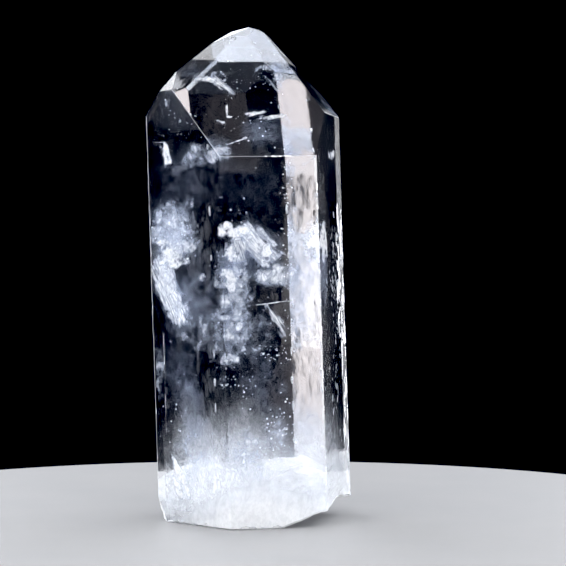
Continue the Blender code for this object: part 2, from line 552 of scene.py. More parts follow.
@dataclass(frozen=True)
class Side:
    """A prism face and the rhomb face above it.

    sixths counts turns of 60 degrees from the front face, going round by the right; reach is the prism face's
    distance from the long axis; peak is where the rhomb face would cross that axis.
    """

    sixths: float
    reach: float
    peak: float


@dataclass(frozen=True)
class Hollow:
    """A shell-shaped hollow: a point on the unbroken crystal, the way out of it, and the hollow's radius
    and bite."""

    point: tuple
    heading: float
    pitch: float
    radius: float
    bite: float


@dataclass(frozen=True)
class Chipping:
    """A run of chips along an edge between two faces, from one height to another, in millimetres.

    across, along and deep are the least and most half sizes of a chip; spread is how far over the first
    face the chips stray from the edge, axis is the coordinate that low and high count along, and gaps is
    the share of places that are left whole.
    """

    faces: tuple
    low: float
    high: float
    count: int
    across: tuple
    along: tuple
    deep: tuple
    spread: float = 0.0
    axis: str = "z"
    gaps: float = 0.35


@dataclass
class CrystalBody:
    """The crystal: its flat faces, worn edges, chips and broken foot."""

    sides: dict = field(default_factory=lambda: {
        "front": Side(0, 11.94, 61.4),
        "right": Side(1, 11.64, 66.9),
        "back_right": Side(2, 11.91, 70.0),
        "back": Side(3, 11.94, 71.7),
        "back_left": Side(4, 10.71, 65.9),
        "left": Side(5, 11.15, 69.5),
    })
    # The narrow corner faces: turns of 60 degrees from the front face, and where the face would cross the
    # long axis.
    corners: dict = field(default_factory=lambda: {
        "front_left_s": (-0.5, 75.35),
        "right_s": (1.5, 81.8),
        "back_s": (3.5, 80.3),
    })
    # Heading and tilt of each worn facet of the tip in degrees, and a point on it.
    tip_wear: tuple = (
        (-84.0, 15.0, (-1.7, 3.6, 64.1)),
        (-40.0, 24.0, (-2.6, 2.4, 63.6)),
        (80.0, 15.0, (0.1, 3.6, 64.2)),
        (92.0, 31.0, (1.3, 3.6, 63.65)),
        (14.0, 37.0, (-0.4, 2.8, 64.2)),
        (204.0, 30.0, (-0.8, 4.6, 63.9)),
    )
    # The foot's hollows: the slope behind, the right, rear right, rear left and left corners.
    foot_break: tuple = (
        Hollow((-1.0, 12.4, 0.0), 180.0, -48.0, 34.0, 5.6),
        Hollow((13.0, -2.6, 0.0), 90.0, -90.0, 26.0, 3.2),
        Hollow((7.5, 11.0, 0.0), 150.0, -40.0, 20.0, 5.0),
        Hollow((-11.6, 7.6, 0.0), 240.0, -28.0, 22.0, 3.2),
        Hollow((-12.3, -3.4, 0.0), -80.0, -16.0, 18.0, 1.15),
    )
    block_radius: float = 20.0
    block_low: float = -10.0
    block_high: float = 80.0
    # The dulled cap starts at this height. Each pit in it has a place and its half sizes across, along and
    # deep.
    cap_height: float = 59.35
    pits: tuple = (
        ((-2.52, 0.71, 62.67), (0.30, 0.18, 0.24)),
        ((-1.97, 0.82, 62.63), (0.18, 0.30, 0.22)),
        ((-2.24, 1.20, 63.18), (0.26, 0.09, 0.12)),
        ((-2.72, 0.10, 61.95), (0.10, 0.22, 0.10)),
    )
    bevel_mm: float = 0.5
    fine_edge_mm: float = 0.035
    # Width in millimetres of each edge that is worn more than the rest.
    worn_edges: dict = field(default_factory=lambda: {
        ("back_left", "left"): 0.34,
        ("right", "back_right"): 0.30,
        ("front", "front_rhomb"): 0.05,
        ("left", "left_rhomb"): 0.08,
        ("left", "front_rhomb"): 0.14,
        ("front_rhomb", "left_rhomb"): 0.14,
        ("left", "front_left_s"): 0.12,
        ("front_rhomb", "front_left_s"): 0.14,
        ("right", "right_s"): 0.12,
        ("right", "right_rhomb"): 0.10,
        ("front", "foot"): 0.35,
        ("left", "foot"): 0.35,
        ("right", "foot"): 0.35,
    })
    # The break's cutter: its size and depth, its grid, where the blow fell in parts of its size, and its
    # relief.
    cutter_size: float = 44.0
    cutter_depth: float = 30.0
    cutter_grid: int = 72
    struck: tuple = (0.45, 0.2)
    ripple_mm: float = 1.9
    ripple_depth: float = 0.045
    break_roughness: float = 0.16
    break_lumps: float = 0.45
    ledge_drop: float = 0.12
    ledge_strip: float = 2.5
    ledge_top: float = 24.4
    ledge_spare: float = 5.0
    chip_roughness: float = 0.22
    chip_lumps: float = 1.7
    # How far chips that are cut in one go lie apart, in half sizes of the longest.
    chip_room: float = 2.6
    chipping: tuple = (
        Chipping(
            ("right", "back_right"), 21.5, 40.5, 84, (0.1, 0.4), (0.3, 1.2), (0.05, 0.16),
            spread=4.2, gaps=0.05,
        ),
        Chipping(("right", "back_right"), 8.0, 21.0, 18, (0.1, 0.35), (0.5, 1.4), (0.05, 0.14), 3.0),
        Chipping(("right", "back_right"), 24.0, 44.0, 22, (0.12, 0.3), (0.2, 0.6), (0.06, 0.16)),
        Chipping(("back_left", "left"), 2.0, 47.0, 20, (0.2, 0.4), (0.3, 0.9), (0.05, 0.14)),
        Chipping(("front", "right"), 4.0, 44.0, 18, (0.1, 0.25), (0.2, 0.6), (0.03, 0.09)),
        Chipping(("left", "front"), 2.0, 44.0, 16, (0.05, 0.12), (0.06, 0.2), (0.02, 0.04), gaps=0.6),
        Chipping(("back_right", "back"), 8.0, 50.0, 10, (0.3, 0.6), (0.3, 0.8), (0.05, 0.14)),
        Chipping(("back", "back_left"), 8.0, 50.0, 10, (0.3, 0.6), (0.3, 0.8), (0.05, 0.14)),
        Chipping(
            ("front", "front_rhomb"), 2.0, 5.6, 5, (0.15, 0.35), (0.05, 0.12), (0.02, 0.04),
            axis="x", gaps=0.3,
        ),
        Chipping(("front", "foot"), -4.4, 4.4, 6, (0.5, 0.9), (0.5, 0.9), (0.15, 0.45), axis="x"),
        Chipping(("left", "foot"), -11.0, -5.0, 4, (0.5, 0.9), (0.5, 0.9), (0.15, 0.45), axis="x"),
    )

    def planes(self) -> dict:
        """Every flat face by name, as its outward normal and a point on it in millimetres."""
        found = {"foot": (Vector((0.0, 0.0, -1.0)), Vector((0.0, 0.0, 0.0)))}
        for name, side in self.sides.items():
            heading = FRONT_TURN + side.sixths * SIXTH
            prism = leaning(direction(heading, 0.0))
            rhomb = leaning(direction(heading, math.pi / 2.0 - RHOMB_TILT))
            found[name] = (prism, prism * side.reach + AXIS_FOOT)
            found[name + "_rhomb"] = (rhomb, leaning(Vector((0.0, 0.0, side.peak))) + AXIS_FOOT)
        for name, (sixths, peak) in self.corners.items():
            normal = leaning(direction(FRONT_TURN + sixths * SIXTH, math.pi / 2.0 - CORNER_TILT))
            found[name] = (normal, leaning(Vector((0.0, 0.0, peak))) + AXIS_FOOT)
        for number, (heading, tilt, point) in enumerate(self.tip_wear):
            normal = direction(math.radians(heading), math.pi / 2.0 - math.radians(tilt))
            found[f"tip_{number}"] = (normal, Vector(point) + AXIS_FOOT)
        return found

    def place_on_edge(self, faces: tuple, axis: str, place: float) -> Vector:
        """Find a point on the edge between two faces.

        Args:
            faces: the faces' names.
            axis: x or z, the coordinate that is given.
            place: its value in millimetres.

        Returns:
            The point in millimetres.
        """
        planes = self.planes()
        along = Vector((1.0, 0.0, 0.0)) if axis == "x" else UP
        meeting = [planes[face] for face in faces] + [(along, along * place)]
        normals = Matrix([normal for normal, point in meeting])
        reaches = Vector([normal.dot(point) for normal, point in meeting])
        return normals.inverted() @ reaches

    def cut_block(self, name: str, inset: float = 0.0) -> Piece:
        """Cut a six-sided block down to the crystal's flat faces.

        Args:
            name: the new object's name.
            inset: how far inside the crystal's own faces the cuts lie, in millimetres.

        Returns:
            The cut block.
        """
        block = added(
            bpy.ops.mesh.primitive_cylinder_add,
            name,
            vertices=6,
            radius=self.block_radius * MM,
            depth=(self.block_high - self.block_low) * MM,
            location=(0.0, 0.0, (self.block_high + self.block_low) / 2.0 * MM),
        )
        settle(block)
        cut_flat(block, [((point - normal * inset) * MM, normal) for normal, point in self.planes().values()])
        return block

    def face_names(self, piece: Piece) -> list:
        """Tell which flat face each polygon of a piece lies on.

        Args:
            piece: the piece.

        Returns:
            The face's name for each polygon.
        """
        planes = self.planes()
        names = []
        for polygon in piece.data.polygons:
            centre = polygon.center / MM
            fits = {
                name: normal.dot(polygon.normal) - abs(normal.dot(centre - point))
                for name, (normal, point) in planes.items()
            }
            names.append(max(fits, key=fits.get))
        return names

    def wear_edges(self, body: Piece, widths: dict, others: float, slot: Slot) -> None:
        """Round the edges between flat faces.

        Args:
            body: the crystal.
            widths: width in millimetres by pair of face names.
            others: width of the edges that widths doesn't name.
            slot: the material slot that the rounding takes.
        """
        mesh = body.data
        names = self.face_names(body)
        sides = {}
        for polygon in mesh.polygons:
            if polygon.material_index == Slot.CLEAR:
                for key in polygon.edge_keys:
                    sides.setdefault(key, []).append(names[polygon.index])
        if "bevel_weight_edge" not in mesh.attributes:
            mesh.attributes.new("bevel_weight_edge", "FLOAT", "EDGE")
        weights = mesh.attributes["bevel_weight_edge"].data
        for edge in mesh.edges:
            pair = sides.get(tuple(edge.key), [])
            width = 0.0
            if len(pair) == 2 and pair[0] != pair[1]:
                width = widths.get((pair[0], pair[1]), widths.get((pair[1], pair[0]), others))
            weights[edge.index].value = width / self.bevel_mm
        bevel = {"width": self.bevel_mm * MM, "segments": 2, "limit_method": "WEIGHT", "material": int(slot)}
        apply_modifier(body, "BEVEL", **bevel)

    def fracture_cutter(self, hollow: Hollow, inset: float = 0.0) -> Piece:
        """Make a thick slab whose face is a shell-shaped break, with ripples spreading from where it was
        struck.

        Args:
            hollow: the place, direction, radius and depth of the break.
            inset: how much deeper it goes than the crystal's own break, in millimetres.

        Returns:
            The cutter.
        """
        outward = direction(math.radians(hollow.heading), math.radians(hollow.pitch))
        grid = {"x_subdivisions": self.cutter_grid, "y_subdivisions": self.cutter_grid}
        cutter = added(bpy.ops.mesh.primitive_grid_add, "cutter", size=self.cutter_size * MM, **grid)
        struck = Vector([part * self.cutter_size for part in self.struck])
        for vertex in cutter.data.vertices:
            across = Vector(vertex.co[:2]) / MM
            round_part = math.sqrt(max(hollow.radius ** 2 - across.length_squared, 1.0))
            ripple = math.sin((across - struck).length * math.tau / self.ripple_mm)
            lumps = Vector((across.x, across.y, hollow.heading)) * self.break_lumps
            rough = noise.fractal(lumps, 0.9, FINER, 5)
            height = hollow.radius - hollow.bite - inset - round_part
            vertex.co.z = (height + self.ripple_depth * ripple + self.break_roughness * rough) * MM
        bpy.ops.object.mode_set(mode="EDIT")
        bpy.ops.mesh.select_all(action="SELECT")
        bpy.ops.mesh.extrude_region_move(TRANSFORM_OT_translate={"value": (0.0, 0.0, self.cutter_depth * MM)})
        bpy.ops.mesh.select_all(action="SELECT")
        bpy.ops.mesh.normals_make_consistent(inside=False)
        bpy.ops.object.mode_set(mode="OBJECT")
        cutter.rotation_euler = outward.to_track_quat("Z", "Y").to_euler()
        cutter.location = (Vector(hollow.point) + AXIS_FOOT) * MM
        settle(cutter)
        return cutter

    def cut_away(self, piece: Piece, cutter: Piece, finish: Finish = None) -> None:
        """Take a cutter's volume out of a piece and delete the cutter.

        Args:
            piece: what is cut.
            cutter: what cuts it.
            finish: the material that the cut takes.
        """
        if finish is not None:
            cutter.data.materials.append(finish)
        materials = "TRANSFER" if finish is not None else "INDEX"
        cut = {"operation": "DIFFERENCE", "solver": "MANIFOLD", "object": cutter, "material_mode": materials}
        apply_modifier(piece, "BOOLEAN", **cut)
        bpy.data.objects.remove(cutter, do_unlink=True)

    def break_foot(self, piece: Piece, inset: float = 0.0, finish: Finish = None) -> None:
        """Break the foot away along its shell-shaped hollows.

        Args:
            piece: the crystal or a layer inside it.
            inset: how much deeper the hollows go, in millimetres.
            finish: the material that the cuts take.
        """
        for hollow in self.foot_break:
            self.cut_away(piece, self.fracture_cutter(hollow, inset), finish)

    def chip_cutter(self, where: Vector, outward: Vector, halves: Vector, seed: int) -> Piece:
        """Make the rough lens that takes one chip off.

        Args:
            where: its middle in millimetres.
            outward: the way out of the crystal.
            halves: its half sizes across, along and into the crystal.
            seed: which rough shape it has.

        Returns:
            The lens.
        """
        fineness = 3 if max(halves) > 0.5 else 2
        lens = added(bpy.ops.mesh.primitive_ico_sphere_add, "lens", subdivisions=fineness, radius=1.0)
        for vertex in lens.data.vertices:
            bump = noise.noise(vertex.co * self.chip_lumps + Vector((seed * 3.7, 0.0, 0.0)))
            vertex.co *= 1.0 + self.chip_roughness * bump
        across = UP.cross(outward).normalized()
        axes = Matrix((across, outward.cross(across), outward)).transposed().to_4x4()
        lens.matrix_world = Matrix.Translation(where * MM) @ axes @ Matrix.Diagonal((*(halves * MM), 1.0))
        settle(lens)
        return lens

    def chip_edges(self, body: Piece, finish: Finish) -> None:
        """Take the small chips off the edges.

        Args:
            body: the crystal.
            finish: the material that the chips take.
        """
        rng = random.Random(41)
        planes = self.planes()
        for run in self.chipping:
            face, other = (planes[name][0] for name in run.faces)
            outward = face if run.spread else (face + other).normalized()
            inwards = face.cross(other).normalized().cross(face)
            if inwards.dot(other) > 0.0:
                inwards.negate()
            step = (run.high - run.low) / run.count
            cutters = []
            for number in range(run.count):
                place = run.low + step * (number + rng.uniform(0.1, 0.9))
                if rng.random() < run.gaps:
                    continue
                where = self.place_on_edge(run.faces, run.axis, place)
                where += inwards * run.spread * rng.random() ** 1.6
                halves = Vector([rng.uniform(*sizes) for sizes in (run.across, run.along, run.deep)])
                cutters.append(self.chip_cutter(where, outward, halves, number))
            # Neighbouring chips overlap, so only those well apart are cut in the same go.
            goes = min(len(cutters), 1 + math.ceil(self.chip_room * max(run.along[1], run.across[1]) / step))
            for first in range(goes):
                self.cut_away(body, merge_into_first(cutters[first::goes]), finish)

    def cut_pits(self, body: Piece, finish: Finish) -> None:
        """Sink the small pits in the rubbed facet below the tip.

        Args:
            body: the crystal.
            finish: the material that the pits take.
        """
        normal = self.planes()["front_rhomb"][0]
        cutters = [
            self.chip_cutter(Vector(where), normal, Vector(halves), 60 + number)
            for number, (where, halves) in enumerate(self.pits)
        ]
        for first in range(2):
            self.cut_away(body, merge_into_first(cutters[first::2]), finish)

    def cut_ledge(self, body: Piece) -> None:
        """Lower the strip of the left face beside its outer edge, which leaves a growth ledge.

        Args:
            body: the crystal.
        """
        side = self.sides["left"]
        heading = FRONT_TURN + side.sixths * SIXTH
        half_face = side.reach * math.tan(SIXTH / 2.0)
        spare = self.ledge_spare
        low = Vector((half_face - self.ledge_strip, side.reach - self.ledge_drop, -spare))
        high = Vector((half_face + spare, side.reach + spare, self.ledge_top))
        slab = added(bpy.ops.mesh.primitive_cube_add, "slab", size=1.0)
        axes = Matrix((direction(heading - math.pi / 2.0, 0.0), direction(heading, 0.0), UP))
        turn = Matrix.Rotation(-LEAN, 4, "Y") @ axes.transposed().to_4x4()
        slab.matrix_world = (
            Matrix.Translation(AXIS_FOOT * MM)
            @ turn
            @ Matrix.Translation((low + high) / 2.0 * MM)
            @ Matrix.Diagonal((high - low) * MM).to_4x4()
        )
        settle(slab)
        self.cut_away(body, slab)

    def build(self, finishes: dict) -> Piece:
        """Build the crystal.

        Args:
            finishes: the materials by name.

        Returns:
            The finished piece.
        """
        body = self.cut_block("quartz_point")
        for slot in Slot:
            body.data.materials.append(finishes[slot.name.lower()])
        cut_flat(body, [((0.0, 0.0, self.cap_height * MM), UP)], fill=False, clear=False)
        for polygon, name in zip(body.data.polygons, self.face_names(body)):
            if name.startswith("tip_"):
                polygon.material_index = Slot.TIP
            elif polygon.center.z > self.cap_height * MM:
                polygon.material_index = Slot.CAP
        self.cut_ledge(body)
        self.wear_edges(body, self.worn_edges, 0.0, Slot.WORN)
        self.wear_edges(body, {}, self.fine_edge_mm, Slot.EDGE)
        self.break_foot(body, finish=finishes["break"])
        self.chip_edges(body, finishes["chip"])
        self.cut_pits(body, finishes["clear"])
        for polygon in body.data.polygons:
            if polygon.normal.z < -0.99:
                polygon.material_index = Slot.BREAK
        # The ledge's cutter has no material and leaves an empty slot.
        for slot in reversed(range(len(body.data.materials))):
            if body.data.materials[slot] is None:
                body.data.materials.pop(index=slot)
        return body

    def clip_inside(self, piece: Piece, inset: float) -> None:
        """Trim an open sheet to what lies inside the crystal's flat faces.

        Args:
            piece: the sheet.
            inset: how far inside the faces it stays, in millimetres.
        """
        for normal, point in self.planes().values():
            plane = point - normal * inset
            if max(normal.dot(vertex.co / MM - plane) for vertex in piece.data.vertices) > 0.0:
                cut_flat(piece, [(plane * MM, normal)], fill=False)


@dataclass
class MilkyRoot:
    """The milky growth in the lower third, as nested shells that follow the crystal's own faces."""

    # How deep each shell lies under the faces, and its top, in millimetres. Its finish has the same name.
    layers: dict = field(default_factory=lambda: {
        "milk_heart": (0.15, 14.0),
        "milk_skin": (1.5, 26.0),
        "milk_middle": (3.0, 24.0),
        "milk_core": (5.5, 22.0),
    })

    def build(self, crystal: CrystalBody, finishes: dict) -> list:
        """Build the shells.

        Args:
            crystal: the crystal that they lie in.
            finishes: the materials by name.

        Returns:
            The shells.
        """
        shells = []
        for name, (inset, top) in self.layers.items():
            shell = crystal.cut_block(name, inset)
            cut_flat(shell, [((0.0, 0.0, top * MM), UP)])
            shell.data.materials.append(finishes[name])
            crystal.break_foot(shell, inset)
            shells.append(shell)
        return shells


class Cover(Enum):
    """How a veil's density falls off over its sheet."""

    CLOUD = "cloud"
    STREAK = "streak"
    FAN = "fan"
    ARC = "arc"
    GAUZE = "gauze"


CLOUD, STREAK, FAN, ARC, GAUZE = Cover


@dataclass(frozen=True)
class Veil:
    """A healed crack: one or more gently curved sheets inside the crystal, one behind the other.

    centre and size are in millimetres; roll turns the sheet anticlockwise as seen from the front, tip leans
    its top away from the front, turn swings it about the upright axis and bend curls it, all in degrees. Of
    the sizes that all veils share, apart is the gap between sheets, ripple how far they waver, ripple_mm
    how broadly, grain the mesh's step, cloud_mm the size of the tears and inset how far inside the faces a
    veil ends. warped, full, fall, ragged and border are how far its outline strays, how dense its middle
    is, how fast it thins, how much the tears count and how sharply it ends at the rim.
    """

    name: str
    centre: tuple
    size: tuple
    cover: Cover
    density: float
    finish: str
    roll: float
    tip: float
    turn: float
    bend: float
    sheets: int
    seed: int
    apart: float = 0.55
    ripple: float = 0.35
    ripple_mm: float = 2.2
    grain: float = 0.25
    cloud_mm: float = 2.2
    inset: float = 0.14
    warped: float = 0.6
    full: float = 1.2
    fall: float = 2.3
    ragged: float = 1.1
    border: float = 5.0

    def thickness(self, across: float, along: float, seed: float) -> float:
        """How dense the sheet is at a place on it.

        Args:
            across: from -1 at its left side to 1 at its right.
            along: from -1 at its foot to 1 at its top.
            seed: which pattern it has.

        Returns:
            From 0, where there is none of it, to 1.
        """
        broad, high = (max(length / self.cloud_mm, 1.5) for length in self.size)
        place = Vector((across * broad + seed * 7.3, along * high, seed * 1.9))
        rough = noise.fractal(place, 0.75, FINER, 6)
        warp = noise.fractal(place * 0.8 + Vector((0.0, 0.0, 9.1)), 0.9, FINER, 4)
        if self.cover is CLOUD:
            reach = math.hypot(across, along)
        elif self.cover is GAUZE:
            reach = (abs(across) ** 2.5 + abs(along) ** 2.5) ** 0.4
        elif self.cover is STREAK:
            reach = math.hypot(across, along * abs(along))
            rough = noise.fractal(Vector((across * 3.0 + seed, along * 1.1, seed)), 0.7, FINER, 6)
        elif self.cover is FAN:
            open_part = (1.0 - along) / 2.0
            angle = across / (0.15 + 0.85 * open_part)
            reach = math.hypot(angle, max(-along, 0.0) ** 1.5)
            rough = noise.fractal(Vector((angle * 3.2 + seed, along * 0.8, seed)), 0.7, FINER, 6)
        else:
            ring = math.hypot(across, along * 0.9 + 0.25)
            reach = abs(ring - 0.78) / 0.22 if along > -0.75 else 1.0
        reach *= 1.0 + self.warped * warp
        border = min(1.0, self.border * (1.0 - max(abs(across), abs(along))))
        density = self.full * math.exp(-self.fall * reach ** 2) * (1.0 + self.ragged * rough) * border
        return min(max(density, 0.0), 1.0)

    def build_sheet(self, number: int) -> Piece:
        """Build one of the sheets.

        Args:
            number: how many sheets lie in front of it.

        Returns:
            The sheet, in its place.
        """
        wide, tall = self.size
        seed = self.seed + 0.37 * number
        columns, rows = (max(6, round(length / self.grain)) for length in self.size)
        grid = {"x_subdivisions": columns, "y_subdivisions": rows}
        sheet = added(bpy.ops.mesh.primitive_grid_add, f"{self.name}_{number}", size=1.0, **grid)
        sheet.scale = (wide * MM, tall * MM, 1.0)
        settle(sheet)
        mesh = sheet.data
        layer = mesh.attributes.new("cover", "FLOAT", "POINT")
        for vertex in mesh.vertices:
            across = vertex.co.x / (wide / 2.0 * MM)
            along = vertex.co.y / (tall / 2.0 * MM)
            layer.data[vertex.index].value = self.thickness(across, along, seed) * self.density
        for loop in mesh.loops:
            corner = mesh.vertices[loop.vertex_index].co / MM
            mesh.uv_layers["UVMap"].data[loop.index].uv = (corner.x + 31.0 * seed, corner.y + 17.0 * seed)
        if self.bend:
            bend = {"deform_method": "BEND", "deform_axis": "X", "angle": math.radians(self.bend)}
            apply_modifier(sheet, "SIMPLE_DEFORM", **bend)
        turn = (
            Matrix.Rotation(math.radians(self.turn), 4, "Z")
            @ Matrix.Rotation(math.radians(-self.roll), 4, "Y")
            @ Matrix.Rotation(math.radians(90.0 - self.tip), 4, "X")
        )
        behind = turn @ Vector((0.0, 0.0, -self.apart * number))
        sheet.matrix_world = Matrix.Translation((Vector(self.centre) + behind) * MM) @ turn
        settle(sheet)
        texture = bpy.data.textures.new(sheet.name, "CLOUDS")
        texture.noise_scale = self.ripple_mm * MM
        texture.noise_depth = 3
        waver = {"texture": texture, "texture_coords": "LOCAL", "strength": self.ripple * MM}
        apply_modifier(sheet, "DISPLACE", mid_level=0.5, **waver)
        return sheet

    def build(self, crystal: CrystalBody, finishes: dict) -> Piece:
        """Build the veil.

        Args:
            crystal: the crystal that it stays inside.
            finishes: the materials by name.

        Returns:
            The finished piece.
        """
        veil = merge_into_first([self.build_sheet(number) for number in range(self.sheets)])
        veil.name = self.name
        veil.data.materials.append(finishes[self.finish])
        crystal.clip_inside(veil, self.inset)
        only(veil)
        bpy.ops.object.shade_smooth()
        return veil


